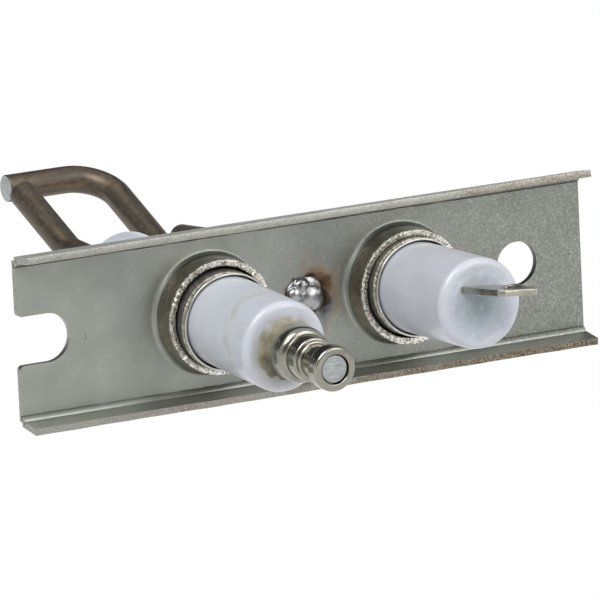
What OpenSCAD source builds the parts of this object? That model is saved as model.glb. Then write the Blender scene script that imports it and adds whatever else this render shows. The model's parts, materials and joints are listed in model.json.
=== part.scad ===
// Burner ignition electrode: an ignition rod and a flame sensing rod in ceramic
// insulators, carried with an earth rod by one flanged sheet steel bracket.
// +X runs along the bracket, -Y points out of its terminal side and +Z up its web.
// The origin is the centre of the fixing hole, on the web's mounting face.

/* [Bracket] */
// Length of the bracket
bracket_length = 90; // [86:1:130]
// Height of the web over both bends
bracket_height = 24.6; // [22.5:0.1:34]
// Sheet thickness
sheet = 1.0; // [0.8:0.1:1.5]
// Overall depth of the bracket, from the mounting face to the flange edges
flange_depth = 4.9; // [3.5:0.1:9]
// Angle by which the flanges spread outwards
flange_flare = 7; // [0:1:12]
// Inside radius of the flange bends
bend_radius = 0.5; // [0.3:0.1:1]
// Diameter of the fixing hole
hole_diameter = 6.0; // [4:0.1:8]
// Distance from the fixing hole to the right end
hole_to_end = 10.5; // [7:0.5:14]
// Width of the open slot
slot_width = 7.0; // [5:0.1:9]
// Depth of the open slot from the left end
slot_depth = 8.0; // [5:0.5:12]

/* [Collars] */
// Distance from the fixing hole to the sensing insulator
sensing_pitch = 19.2; // [17:0.1:24]
// Distance from the fixing hole to the ignition insulator
ignition_pitch = 49.7; // [44:0.1:60]
// Bore of the drawn collars
collar_bore = 15.1; // [12:0.1:17]
// Wall of the drawn collars
collar_wall = 0.9; // [0.6:0.1:1.2]
// Height of the collars over the web
collar_rise = 4.1; // [2:0.1:6]
// Fillet round the foot of the collars
collar_fillet = 0.6; // [0.2:0.1:1]
// Radius at the mouth of the collars on the mounting face
collar_entry = 0.8; // [0.3:0.1:1]

/* [Ferrules] */
// Radial gap between collar and ferrule
ferrule_gap = 0.5; // [0.5:0.05:0.8]
// Wall of the ferrules
ferrule_wall = 0.3; // [0.2:0.05:0.5]
// Length of the ferrules past the collar lip
ferrule_reach = 2.4; // [1:0.1:5]
// Thickness of the seating flange behind the web
seat_thickness = 0.8; // [0.5:0.1:1.2]
// Width of the seating flange outside the ferrule
seat_width = 2.9; // [2.5:0.1:4]
// Radial gap between ferrule and ceramic
ceramic_gap = 0.25; // [0.05:0.05:0.3]
// Diameter of the tack welds at the seating flanges
tack_diameter = 1.8; // [1:0.1:3]

/* [Insulators] */
// Length of the ceramic in front of the web
ceramic_front = 23.1; // [16:0.1:40]
// Length of the ceramic behind the mounting face
ceramic_rear = 25.6; // [16:0.1:40]
// Edge radius of the front end
ceramic_front_edge = 0.6; // [0.2:0.1:1.5]
// Edge radius of the rear end
ceramic_rear_edge = 1.6; // [0.2:0.1:2.5]
// Depth of the bonding groove in the ceramic
bond_depth = 0.5; // [0.3:0.1:1]
// Width of the bonding groove
bond_width = 3.0; // [1.5:0.1:4]
// Tilt of the ignition insulator, front end down
ignition_tilt = 2.4; // [0:0.1:2.5]
// Tilt of the sensing insulator, front end up
sensing_tilt = 2.2; // [0:0.1:3.5]
// How much further out the sensing insulator stands than the ignition insulator
sensing_advance = 1.0; // [0:0.1:2]

/* [Rods] */
// Diameter of the electrode rods
rod_diameter = 4.0; // [3:0.1:4.5]
// Radial clearance of the rods in the ceramic
rod_clearance = 0.15; // [0.1:0.05:0.3]
// Distance from the mounting face to the bend of the ignition rod
ignition_bend = 42.3; // [34:0.1:70]
// Length of the ignition rod past its bend
ignition_tip = 15.9; // [10:0.1:25]
// Angle of the ignition rod's bend
ignition_angle = 20.3; // [5:0.1:40]
// Distance from the mounting face to the first bend of the earth rod
earth_bend = 43.5; // [34:0.5:70]
// Length of the earth rod between its bends
earth_riser = 19.9; // [14:0.1:30]
// Angle of the earth rod's first bend
earth_angle = 23; // [5:0.5:40]
// Length of the earth rod's cross leg, from the riser's axis
earth_cross = 15.5; // [12:0.1:20]
// Centre line radius of the slight bends
slight_bend = 6; // [4:0.5:10]
// Centre line radius of the cross leg's bend
cross_bend = 6; // [4:0.5:8]
// Centre line radius of the sensing rod's bend
gentle_bend = 40; // [30:1:60]
// Distance from the mounting face to the slight bend of the sensing rod
sensing_bend = 32; // [30:1:60]
// Angle of the sensing rod's bend, away from the earth rod's rise
sensing_angle = 3.4; // [1:0.1:10]
// Distance from the mounting face to the end of the sensing rod
sensing_reach = 67; // [40:1:100]

/* [Terminal] */
// Diameter of the clip-on head
head_diameter = 6.35; // [6:0.05:7]
// Length of the clip-on head
head_length = 2.5; // [2:0.1:4]
// Diameter of the waist behind the head
waist_diameter = 4.8; // [4.6:0.1:5.4]
// Length of the waist
waist_length = 3.4; // [3:0.1:6]
// Diameter of the shoulder ring in front of the flange
shoulder_diameter = 6.4; // [5.6:0.1:7]
// Length of the shoulder ring
shoulder_length = 0.8; // [0.6:0.1:2]
// Diameter of the terminal's flange
flange_diameter = 8.0; // [7:0.1:9]
// Length of the terminal's flange
flange_length = 5.0; // [3:0.1:8]
// Depth of the rod's end below the terminal's end face
rod_recess = 0.3; // [0.1:0.1:1]
// Chamfer of the terminal's edges
terminal_chamfer = 0.4; // [0.2:0.1:0.6]

/* [Blade] */
// Width of the blade tab
blade_width = 6.3; // [4.8:0.1:6.3]
// Thickness of the blade tab
blade_thickness = 0.8; // [0.5:0.1:1]
// Length of the blade past the ceramic's end face
blade_length = 11.2; // [7:0.1:14]
// Height of the blade's upper face over the insulator's axis
blade_height = 2.5; // [2.4:0.1:4]
// Angle by which the tab rises from the insulator's axis
blade_rise = 5; // [0:0.5:10]
// Angle by which the blade is turned about the insulator's axis, right side down
blade_roll = 5; // [0:0.5:10]
// Inside radius of the blade's bend
blade_bend = 0.5; // [0.3:0.1:0.8]
// Length of the blade's foot below the axis
foot_drop = 2.4; // [1:0.1:3]
// Chamfer of the blade's tip
blade_chamfer = 0.7; // [0.4:0.1:1.5]
// Diameter of the hole in the blade
blade_hole = 1.8; // [1:0.1:2.2]
// Distance from the blade's tip to its hole
blade_hole_back = 2.8; // [2.4:0.1:6]
// Diameter of the weld nugget on the blade's foot
nugget_diameter = 2.4; // [1.5:0.1:3]

/* [Cement] */
// Diameter of the cement plugs
plug_diameter = 7.8; // [6:0.1:9]
// Depth of the cement plugs in the ceramic
plug_depth = 3.0; // [1.5:0.1:6]
// Height of the cement collar under the terminal
terminal_seat = 2.9; // [1:0.1:5]
// Diameter of the cement pocket round the blade's foot
pocket_diameter = 9.6; // [8:0.1:10.5]
// Cement left over the blade's foot
pocket_cover = 0.4; // [0.2:0.1:1]

/* [Earth weld] */
// Diameter of the weld bead on the web
bead_diameter = 6.2; // [4.8:0.1:8]
// Height of the weld bead
bead_height = 1.5; // [1:0.1:2.5]
// Length of the earth rod past the web's front face
rod_proud = 0.5; // [0.2:0.1:0.8]
// Leg of the fillet weld behind the web
fillet_leg = 1.4; // [0.8:0.1:2]
// Radial clearance of the earth rod in the web
earth_clearance = 0.05; // [0.05:0.05:0.2]

/* [Hidden] */
$fn = 96;
// overshoot of cutting tools past the face they open
cut = 1;
rod_r = rod_diameter / 2;
earth_pitch = (sensing_pitch + ignition_pitch) / 2;
outer_bend = bend_radius + sheet;
// stack lengths, measured along an insulator's axis from the mounting face
front_face = sheet + ceramic_front;
rear_face = -ceramic_rear;
lip = sheet + collar_rise;
ferrule_r = collar_bore / 2 - ferrule_gap;
ceramic_r = ferrule_r - ferrule_wall - ceramic_gap;
seat_r = ferrule_r + seat_width;
bond_centre = lip / 2;
terminal_base = front_face + terminal_seat;
terminal_length = flange_length + shoulder_length + waist_length + head_length;
terminal_end = terminal_base + terminal_length;
// the blade's foot lies in the pocket, and the sensing rod ends on its back
foot_front = front_face - pocket_cover;
foot_back = foot_front - blade_thickness;
nugget_height = pocket_cover / 2;
// centre of the blade's bend, and the tab's length from there
blade_turn = blade_bend + blade_thickness;
blade_centre = [foot_back + blade_turn, blade_height - blade_turn];
tab_run = front_face + blade_length - blade_centre.x;
// a bend is a hair thicker than its legs, so that the laps of the legs end inside it
bend_swell = 0.02;
leg_lap = 0.25;

plate = "#9b9d94";
dark_steel = "#77756c";
glaze = "#dfe1e8";
cement = "#a9b0b8";
stained_cement = "#8f8d7c";
rod_alloy = "#6e645a";
nickel = "#b4b4ab";

// ---- placing ----

// Turns a drawing of depth (its x, to the back) against height (its y) into the part's frame.
module from_side() rotate([90, 0, 90]) children();

// Stands a turned piece in an insulator's axis, with its own +Z out of the terminal side.
module in_axis(x, nose_up) translate([x, 0, 0]) rotate([90 - nose_up, 0, 0]) children();
module in_ignition_axis() in_axis(-ignition_pitch, -ignition_tilt) children();
module in_sensing_axis() in_axis(-sensing_pitch, sensing_tilt) children();

// The ceramic and what it carries stand further out in the sensing ferrule.
module in_sensing_stack() in_sensing_axis() translate([0, 0, sensing_advance]) children();

// A round bar between two heights of its own axis.
module bar(r, from, to) translate([0, 0, from]) cylinder(r = r, h = to - from);

// ---- bracket ----

// Region inside the bent sheet at a distance in from its outside face, open past reach.
module pan_region(in, reach) {
    r = outer_bend - in;
    centre = [-outer_bend, bracket_height / 2 - outer_bend];
    normal = [sin(flange_flare), cos(flange_flare)];
    run = [-cos(flange_flare), sin(flange_flare)];
    touch = centre + r * normal;
    edge = touch + reach * run;
    polygon([for (s = [1, -1], p = s > 0 ? [[-in, centre.y], touch, edge] : [edge, touch, [-in, centre.y]])
        [p.x, s * p.y]]);
    for (s = [1, -1]) translate([centre.x, s * centre.y]) circle(r);
}

module channel_section() {
    reach = (flange_depth - outer_bend + bend_radius * sin(flange_flare)) / cos(flange_flare);
    difference() {
        pan_region(0, reach);
        pan_region(sheet, reach + cut);
    }
}

// Outline of a collar's wall: foot fillet, flank and lip outside, rounded entry inside.
module collar_profile() {
    bore_r = collar_bore / 2;
    wall_r = bore_r + collar_wall;
    difference() {
        translate([bore_r, 0]) square([collar_wall + collar_fillet, lip]);
        translate([wall_r, sheet + collar_fillet]) square([2 * collar_fillet, lip]);
        translate([wall_r + collar_fillet, sheet + collar_fillet]) circle(collar_fillet);
    }
}

// Cuts the rounded entry of a collar's bore at the mounting face.
module collar_entry_profile() {
    bore_r = collar_bore / 2;
    difference() {
        translate([0, -cut]) square([bore_r + collar_entry, cut + collar_entry]);
        translate([bore_r + collar_entry, collar_entry]) circle(collar_entry);
    }
}

module bracket() color(plate) difference() {
    union() {
        translate([hole_to_end - bracket_length, 0, 0]) from_side()
            linear_extrude(bracket_length) channel_section();
        for (x = [-ignition_pitch, -sensing_pitch])
            in_axis(x, 0) rotate_extrude() collar_profile();
    }
    for (x = [-ignition_pitch, -sensing_pitch]) in_axis(x, 0) {
        bar(collar_bore / 2, -cut, lip + cut);
        rotate_extrude() collar_entry_profile();
    }
    in_axis(-earth_pitch, 0) bar(rod_r + earth_clearance, -cut, sheet + cut);
    in_axis(0, 0) bar(hole_diameter / 2, -cut, sheet + cut);
    slot_end = hole_to_end - bracket_length + slot_depth - slot_width / 2;
    in_axis(slot_end, 0) {
        bar(slot_width / 2, -cut, sheet + cut);
        translate([-slot_depth, -slot_width / 2, -cut]) cube([slot_depth, slot_width, sheet + 2 * cut]);
    }
}

// ---- ferrules ----

// The seating flange lies flat on the web while the sleeve follows the insulator's tilt.
module ferrule(x, nose_up) color(dark_steel) difference() {
    union() {
        in_axis(x, 0) bar(seat_r, -seat_thickness, 0);
        in_axis(x, nose_up) bar(ferrule_r, -seat_thickness, lip + ferrule_reach);
    }
    in_axis(x, nose_up) bar(ferrule_r - ferrule_wall, -2 * cut, lip + ferrule_reach + cut);
}
module ignition_ferrule() ferrule(-ignition_pitch, -ignition_tilt);
module sensing_ferrule() ferrule(-sensing_pitch, sensing_tilt);

// Three tack welds hold each seating flange to the web.
module ferrule_tack_welds() color(dark_steel)
    for (x = [-ignition_pitch, -sensing_pitch], angle = [90, 210, 330])
        in_axis(x, 0) difference() {
            rotate(angle) translate([seat_r, 0, 0]) intersection() {
                sphere(d = tack_diameter);
                translate([-tack_diameter, -tack_diameter, -tack_diameter])
                    cube([2 * tack_diameter, 2 * tack_diameter, tack_diameter]);
            }
            bar(seat_r, -seat_thickness, cut);
        }

// ---- insulators ----

// Half outline of the ceramic with rounded ends.
module ceramic_outline() {
    for (end = [[front_face, ceramic_front_edge, -1], [rear_face, ceramic_rear_edge, 1]]) {
        translate([ceramic_r - end[1], end[0] + end[2] * end[1]]) circle(end[1]);
        translate([0, min(end[0], end[0] + end[2] * end[1])]) square([ceramic_r - end[1], end[1]]);
    }
    translate([0, rear_face + ceramic_rear_edge])
        square([ceramic_r, front_face - rear_face - ceramic_front_edge - ceramic_rear_edge]);
}

// The front pocket differs: a plug for the terminal, a wide shallow pocket for the blade.
module insulator(pocket_r, pocket_depth) color(glaze) difference() {
    rotate_extrude() ceramic_outline();
    bar(rod_r + rod_clearance, rear_face - cut, front_face + cut);
    bar(pocket_r, front_face - pocket_depth, front_face + cut);
    bar(plug_diameter / 2, rear_face - cut, rear_face + plug_depth);
    difference() {
        bar(ceramic_r + cut, bond_centre - bond_width / 2, bond_centre + bond_width / 2);
        bar(ceramic_r - bond_depth, bond_centre - bond_width, bond_centre + bond_width);
    }
}
module ignition_insulator() in_ignition_axis() insulator(plug_diameter / 2, plug_depth);
module sensing_insulator() in_sensing_stack() insulator(pocket_diameter / 2, front_face - foot_back);

// A ring of bonding cement keys the ceramic's groove to the ferrule's bore.
module bond_ring() color(cement) difference() {
    bar(ferrule_r - ferrule_wall, bond_centre - bond_width / 2, bond_centre + bond_width / 2);
    bar(ceramic_r - bond_depth, bond_centre - bond_width, bond_centre + bond_width);
}
module ignition_bond_ring() in_ignition_axis() bond_ring();
module sensing_bond_ring() in_sensing_stack() bond_ring();

// ---- rods ----

// Starts a rod at a height of its axis and heads it to the back, with +Y still up the web.
module heading_back(front) translate([0, 0, front]) rotate([0, 90, 0]) children();

// A straight leg along +X, run into the bends at its ends, with what follows it at its end.
module leg(length, into_start, into_end) {
    translate([-into_start, 0, 0]) rotate([0, 90, 0])
        cylinder(r = rod_r, h = into_start + length + into_end);
    translate([length, 0, 0]) children();
}

// A bend from +X towards +Y, rolled about the leg before it, with what follows at its end.
module turn(r, angle, roll) rotate([roll, 0, 0]) {
    translate([0, r, 0]) rotate([0, 0, -90]) rotate_extrude(angle = angle)
        translate([r, 0]) circle(rod_r + bend_swell);
    translate([r * sin(angle), r * (1 - cos(angle)), 0]) rotate([0, 0, angle]) children();
}

// Length that a bend takes off each leg that meets in it.
function setback(r, angle) = r * tan(angle / 2);

module ignition_rod() {
    front = terminal_end - rod_recess;
    trim = setback(slight_bend, ignition_angle);
    color(rod_alloy) in_ignition_axis() heading_back(front)
        leg(front + ignition_bend - trim, 0, leg_lap) turn(slight_bend, ignition_angle, 0)
            leg(ignition_tip - trim, leg_lap, 0);
}

module sensing_rod() {
    front = foot_back + sensing_advance;
    trim = setback(gentle_bend, sensing_angle);
    color(rod_alloy) in_sensing_axis() heading_back(front)
        leg(front + sensing_bend - trim, 0, leg_lap) turn(gentle_bend, sensing_angle, 180)
            leg(sensing_reach - sensing_bend - trim, leg_lap, 0);
}

module earth_rod() {
    front = sheet + rod_proud;
    trim = setback(slight_bend, earth_angle);
    cross_trim = setback(cross_bend, 90);
    color(rod_alloy) in_axis(-earth_pitch, 0) heading_back(front)
        leg(front + earth_bend - trim, 0, leg_lap) turn(slight_bend, earth_angle, 0)
            leg(earth_riser - trim - cross_trim, leg_lap, leg_lap) turn(cross_bend, 90, -90)
                leg(earth_cross - cross_trim, leg_lap, 0);
}

// ---- earth weld ----

// A low dome round the rod's end on the front of the web.
module earth_weld_bead() {
    half = bead_diameter / 2;
    dome_r = (half * half + bead_height * bead_height) / (2 * bead_height);
    color(nickel) in_axis(-earth_pitch, 0) difference() {
        intersection() {
            translate([0, 0, sheet + bead_height - dome_r]) sphere(dome_r);
            bar(bead_diameter, sheet, sheet + 2 * bead_height);
        }
        bar(rod_r, -cut, sheet + rod_proud);
    }
}

// A fillet weld round the rod behind the web.
module earth_weld_fillet() color(dark_steel) in_axis(-earth_pitch, 0) rotate_extrude() difference() {
    translate([rod_r, -fillet_leg]) square(fillet_leg);
    translate([rod_r + fillet_leg, -fillet_leg]) circle(fillet_leg * 0.8);
}

// ---- ignition terminal ----

module ignition_terminal() {
    c = terminal_chamfer;
    shoulder = terminal_base + flange_length;
    waist = shoulder + shoulder_length;
    head = waist + waist_length;
    flange_r = flange_diameter / 2;
    shoulder_r = shoulder_diameter / 2;
    waist_r = waist_diameter / 2;
    head_r = head_diameter / 2;
    color(nickel) in_ignition_axis() rotate_extrude() polygon([
        [rod_r, terminal_base], [flange_r - c, terminal_base], [flange_r, terminal_base + c],
        [flange_r, shoulder - c], [flange_r - c, shoulder],
        [shoulder_r, shoulder], [shoulder_r, waist - c], [shoulder_r - c, waist],
        [waist_r, waist], [waist_r, head - c], [head_r - c, head], [head_r, head + c],
        [head_r, terminal_end - c], [head_r - c, terminal_end], [rod_r, terminal_end]]);
}

// ---- sensing blade ----

// Side outline of the blade: foot down the end face, bend, then the tab out of the front.
module blade_section() {
    c = blade_centre;
    along = [cos(blade_rise), sin(blade_rise)];
    under = c + blade_bend * [-along.y, along.x];
    far = under + (tab_run + cut) * along;
    difference() {
        union() {
            translate([foot_back, -foot_drop]) square([blade_thickness, foot_drop + c.y]);
            translate(c) circle(blade_turn);
            translate(c) rotate(blade_rise) translate([0, blade_bend]) square([tab_run, blade_thickness]);
        }
        translate(c) circle(blade_bend);
        polygon([[foot_back + blade_thickness, -foot_drop - cut], [foot_back + blade_thickness, c.y], c,
            under, far, [far.x, -foot_drop - cut]]);
    }
}

// Frame of the tab: +Z along it from the bend's centre and +Y up from its lower face.
module in_tab() translate([0, blade_centre.y, blade_centre.x]) rotate([-blade_rise, 0, 0]) children();

module sensing_blade() {
    half = blade_width / 2;
    color(nickel) in_sensing_stack() rotate(-blade_roll) difference() {
        rotate([0, -90, 0]) linear_extrude(blade_width, center = true) blade_section();
        in_tab() {
            for (s = [1, -1]) rotate([-90, 0, 0]) linear_extrude(blade_turn + cut)
                polygon([[s * half, -tab_run + blade_chamfer], [s * (half - blade_chamfer), -tab_run],
                    [s * (half + cut), -tab_run - cut], [s * (half + cut), -tab_run + blade_chamfer]]);
            translate([0, 0, tab_run - blade_hole_back]) rotate([-90, 0, 0])
                cylinder(d = blade_hole, h = blade_turn + cut);
        }
    }
}

// The nugget joins the foot to the end of the sensing rod behind it.
module sensing_blade_nugget() color(dark_steel) in_sensing_stack()
    bar(nugget_diameter / 2, foot_front, foot_front + nugget_height);

// ---- cement ----

// Fills the plug hole and stands out as a cone under the terminal's flange.
module ignition_front_cement() color(stained_cement) in_ignition_axis() difference() {
    union() {
        bar(plug_diameter / 2, front_face - plug_depth, front_face);
        translate([0, 0, front_face])
            cylinder(r1 = plug_diameter / 2, r2 = flange_diameter / 2 - 2 * terminal_chamfer, h = terminal_seat);
    }
    bar(rod_r, front_face - plug_depth - cut, terminal_base + cut);
}

module rear_cement() color(cement) difference() {
    bar(plug_diameter / 2, rear_face, rear_face + plug_depth);
    bar(rod_r, rear_face - cut, rear_face + plug_depth + cut);
}
module ignition_rear_cement() in_ignition_axis() rear_cement();
module sensing_rear_cement() in_sensing_stack() rear_cement();

module sensing_front_cement() color(cement) difference() {
    in_sensing_stack() bar(pocket_diameter / 2, foot_back, front_face);
    sensing_blade();
    sensing_blade_nugget();
}

bracket();
ignition_ferrule();
sensing_ferrule();
ferrule_tack_welds();
ignition_insulator();
sensing_insulator();
ignition_bond_ring();
sensing_bond_ring();
ignition_rod();
sensing_rod();
earth_rod();
earth_weld_bead();
earth_weld_fillet();
ignition_terminal();
ignition_front_cement();
ignition_rear_cement();
sensing_blade();
sensing_blade_nugget();
sensing_front_cement();
sensing_rear_cement();
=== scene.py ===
"""Looks of a burner ignition electrode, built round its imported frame.

Every piece is worked out in millimetres in the part's own frame: +X along the
bracket, -Y out of the terminal side, +Z up the web, and the origin at the centre
of the fixing hole on the mounting face.
"""

import json
import math

import bmesh
import bpy
import numpy as np
from bpy.props import FloatProperty, FloatVectorProperty, PointerProperty
from mathutils import Matrix, Vector


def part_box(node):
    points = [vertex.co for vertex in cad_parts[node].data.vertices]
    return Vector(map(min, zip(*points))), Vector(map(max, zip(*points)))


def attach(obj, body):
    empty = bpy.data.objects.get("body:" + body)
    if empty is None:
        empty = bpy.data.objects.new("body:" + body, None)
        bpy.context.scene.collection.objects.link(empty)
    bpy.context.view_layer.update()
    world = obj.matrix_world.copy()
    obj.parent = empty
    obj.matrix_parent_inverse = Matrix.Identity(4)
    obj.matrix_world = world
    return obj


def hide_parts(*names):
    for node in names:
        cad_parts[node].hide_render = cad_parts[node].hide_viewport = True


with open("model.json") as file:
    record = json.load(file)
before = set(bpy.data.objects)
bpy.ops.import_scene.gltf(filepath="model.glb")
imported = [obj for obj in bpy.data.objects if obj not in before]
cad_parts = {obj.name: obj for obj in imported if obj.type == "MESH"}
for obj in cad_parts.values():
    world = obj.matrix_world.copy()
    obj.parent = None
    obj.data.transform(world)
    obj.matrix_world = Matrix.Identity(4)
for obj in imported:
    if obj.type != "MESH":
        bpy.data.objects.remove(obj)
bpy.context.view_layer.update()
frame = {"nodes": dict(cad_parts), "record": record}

bl_info = {
    "name": "Ignition Electrode",
    "version": (1, 0, 0),
    "blender": (4, 5, 0),
    "location": "View3D > Sidebar > Electrode",
    "description": "Builds the visible pieces of a burner ignition electrode",
    "category": "Add Mesh",
}

MM = 0.001
BODY = "root"


def colour(code):
    """Linear red, green, blue and alpha of an sRGB hex colour."""
    values = np.array([int(code[i:i + 2], 16) for i in (1, 3, 5)]) / 255
    linear = np.where(values <= 0.04045, values / 12.92, ((values + 0.055) / 1.055) ** 2.4)
    return (*linear, 1.0)


def node_box(name):
    """A node's lowest and highest corners in millimetres."""
    low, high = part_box(name)
    return np.array(low) / MM, np.array(high) / MM


BRACKET_LOW, BRACKET_HIGH = node_box("bracket")
EARTH_LOW, EARTH_HIGH = node_box("earth_weld_bead")
RING_LOW, RING_HIGH = node_box("sensing_bond_ring")
NOSE = next(mount for mount in frame["record"]["mounts"]
            if mount["name"] == "ignition_terminal_head")


# ---------------------------------------------------------------------------
# Settings
# ---------------------------------------------------------------------------

def size(name, description, default):
    """A length in millimetres that can be changed in the sidebar."""
    return FloatProperty(name=name, description=f"{description} in mm", default=default,
                         min=0.0, precision=3)


def slant(name, description, degrees):
    """An angle that can be changed in the sidebar, with its default in degrees."""
    return FloatProperty(name=name, description=description, default=math.radians(degrees),
                         subtype="ANGLE")


def tone(name, description, code):
    """A colour that can be changed in the sidebar, with its default as an sRGB hex code."""
    return FloatVectorProperty(name=name, description=description, default=colour(code)[:3],
                               subtype="COLOR", size=3, min=0.0, max=1.0)


class BracketSettings(bpy.types.PropertyGroup):
    sheet: size("Sheet", "Thickness of the sheet", 1.0)
    height: size("Height", "Height of the web over both bends", 24.6)
    bend: size("Bend", "Inside radius of the flange bends", 0.28)
    flare: slant("Flare", "Outward spread of the flanges", 7)
    spread: slant("Spread", "Further spread of the upper flange at the hole's end", 4.5)
    edge: size("Edge", "Rounding of the cut edges", 0.27)
    hole: size("Hole", "Radius of the fixing hole", 3.2)
    slot_width: size("Slot width", "Width of the open slot", 7.0)
    slot_depth: size("Slot depth", "Depth of the open slot", 8.0)
    slot_mouth: size("Slot mouth", "Rounding of the slot's mouth", 0.7)
    collar: size("Collar", "Radius at the foot to the middle of the collar's wall", 7.98)
    collar_lean: size("Collar lean", "How much the collar's wall leans in to its lip", 0.22)
    collar_wall: size("Collar wall", "Thickness of the drawn wall", 0.88)
    collar_rise: size("Collar rise", "Height of the collars over the web", 4.1)
    collar_foot: size("Collar foot", "Fillet in the middle of the sheet at the collar's foot", 1.1)
    ragged: size("Ragged lip", "Depth of the tears in the collars' lips", 0.13)


class StackSettings(bpy.types.PropertyGroup):
    ceramic: size("Ceramic", "Radius of the ceramic", 6.5)
    front: size("Front", "Front face of the ceramic from the mounting face", 24.1)
    rear: size("Rear", "Rear face of the ceramic from the mounting face", 25.6)
    front_edge: size("Front edge", "Rounding of the ceramic's front edge", 1.0)
    rear_edge: size("Rear edge", "Rounding of the ceramic's rear edge", 1.6)
    bore: size("Bore", "Radius of the ceramic's bore", 2.15)
    plug: size("Plug", "Radius of the cement plugs", 3.9)
    plug_depth: size("Plug depth", "Depth of the cement plugs", 3.0)
    pocket: size("Pocket", "Radius of the pocket round the blade's foot", 4.8)
    pocket_depth: size("Pocket depth", "Depth of the pocket round the blade's foot", 1.2)
    ferrule: size("Ferrule", "Outer radius of the ferrules", 7.05)
    ferrule_wall: size("Ferrule wall", "Wall of the ferrules", 0.3)
    ferrule_end: size("Ferrule end", "End of the ferrules from the mounting face", 7.5)
    seat: size("Seat", "Radius of the seating flange", 9.95)
    seat_thickness: size("Seat thickness", "Thickness of the seating flange", 0.8)
    tack: size("Tack", "Radius of the tack welds", 0.9)


class RodSettings(bpy.types.PropertyGroup):
    radius: size("Radius", "Radius of the rods", 2.0)
    edge: size("Edge", "Rounding of the cut ends", 0.18)
    bend: size("Bend", "Centre line radius of the bends", 6.0)
    ignition_bend: size("Ignition bend", "Mounting face to the ignition rod's bend", 42.3)
    ignition_tip: size("Ignition tip", "Length of the ignition rod past its bend", 15.9)
    ignition_angle: slant("Ignition angle", "Angle of the ignition rod's bend", 20.3)
    earth_bend: size("Earth bend", "Mounting face to the earth rod's first bend", 43.5)
    earth_riser: size("Earth riser", "Length of the earth rod between its bends", 19.9)
    earth_angle: slant("Earth angle", "Angle of the earth rod's first bend", 23)
    earth_cross: size("Earth cross", "Length of the earth rod's cross leg", 15.5)
    sensing_reach: size("Sensing reach", "Mounting face to the sensing rod's end", 67.0)
    sensing_bend: size("Sensing bend", "Mounting face to the sensing rod's bend", 32.0)
    sensing_angle: slant("Sensing angle", "Angle of the sensing rod's bend", 3.4)
    gentle: size("Gentle bend", "Centre line radius of the sensing rod's bend", 40.0)


class TerminalSettings(bpy.types.PropertyGroup):
    seat: size("Seat", "Height of the cement cone under the terminal", 2.9)
    flange: size("Flange", "Radius of the terminal's flange", 4.0)
    flange_length: size("Flange length", "Length of the terminal's flange", 3.1)
    shoulder: size("Shoulder", "Radius of the shoulder ring", 3.2)
    shoulder_length: size("Shoulder length", "Length of the shoulder ring", 2.6)
    waist: size("Waist", "Radius of the waist", 2.4)
    waist_length: size("Waist length", "Length of the waist", 3.5)
    head: size("Head", "Radius of the clip-on head", 3.175)
    head_length: size("Head length", "Length of the clip-on head", 2.5)
    recess: size("Recess", "Depth of the rod's end below the head's face", 0.3)
    blade_width: size("Blade width", "Width of the blade tab", 6.3)
    blade_thickness: size("Blade thickness", "Thickness of the blade tab", 0.92)
    blade_length: size("Blade length", "Length of the blade past the ceramic", 11.2)
    blade_height: size("Blade height", "Height of the blade's upper face over the axis", 2.5)
    blade_rise: slant("Blade rise", "Angle by which the tab rises from the axis", 5)
    blade_roll: slant("Blade roll", "Turn of the blade about the axis", 5)
    blade_chamfer: size("Blade chamfer", "Chamfer of the blade's tip", 0.7)
    blade_burr: size("Blade burr", "Height of the swelling beside the blade's hole", 0.55)
    blade_hole: size("Blade hole", "Radius of the hole in the blade", 0.9)
    blade_hole_back: size("Blade hole back", "Tip of the blade to its hole", 2.8)
    blade_bend: size("Blade bend", "Inside radius of the blade's bend", 0.5)
    foot_drop: size("Foot drop", "Length of the blade's foot below the axis", 2.4)


class WeldSettings(bpy.types.PropertyGroup):
    bead: size("Bead", "Radius of the weld bead", 3.1)
    bead_height: size("Bead height", "Height of the weld bead", 1.5)
    fillet: size("Fillet", "Leg of the fillet weld behind the web", 1.4)


class FinishSettings(bpy.types.PropertyGroup):
    plate: tone("Plate", "Satin plate of the bracket", "#a0a39b")
    ceramic: tone("Ceramic", "Glazed body of the insulators", "#bbbfc7")
    rod: tone("Rod", "Heat browned wire of the rods", "#5f574d")
    nickel: tone("Nickel", "Bright plate of the ignition terminal", "#a5a398")
    # The olive stop of the terminal cement; inside it the cement darkens further by painted shade under
    # the flange.
    stain: tone("Stain", "Flux stain in the terminal's cement", "#6f6a57")


class StageSettings(bpy.types.PropertyGroup):
    azimuth: slant("Azimuth", "Camera's turn from straight in front", -27.44)
    elevation: slant("Elevation", "Camera's height over the horizon", 12.23)
    roll: slant("Roll", "Camera's roll about its line of sight", -2.72)
    distance: size("Distance", "Camera to the middle of the bracket", 1400.0)
    view_width: size("View width", "Width of the view at the middle of the bracket", 84.8)
    aim: FloatVectorProperty(name="Aim", description="Point at the view's centre, in the view's own "
                             "axes from the middle of the bracket, in mm", default=(-0.07, -0.55), size=2)
    floor: size("Floor", "Depth of the floor below the part", 160.0)


SETTINGS = {
    "electrode_bracket": BracketSettings,
    "electrode_stack": StackSettings,
    "electrode_rods": RodSettings,
    "electrode_terminal": TerminalSettings,
    "electrode_weld": WeldSettings,
    "electrode_finish": FinishSettings,
    "electrode_stage": StageSettings,
}


# ---------------------------------------------------------------------------
# Shapes
# ---------------------------------------------------------------------------

def unit(vector):
    """A vector shrunk or stretched to a length of one."""
    return vector / np.linalg.norm(vector)


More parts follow.
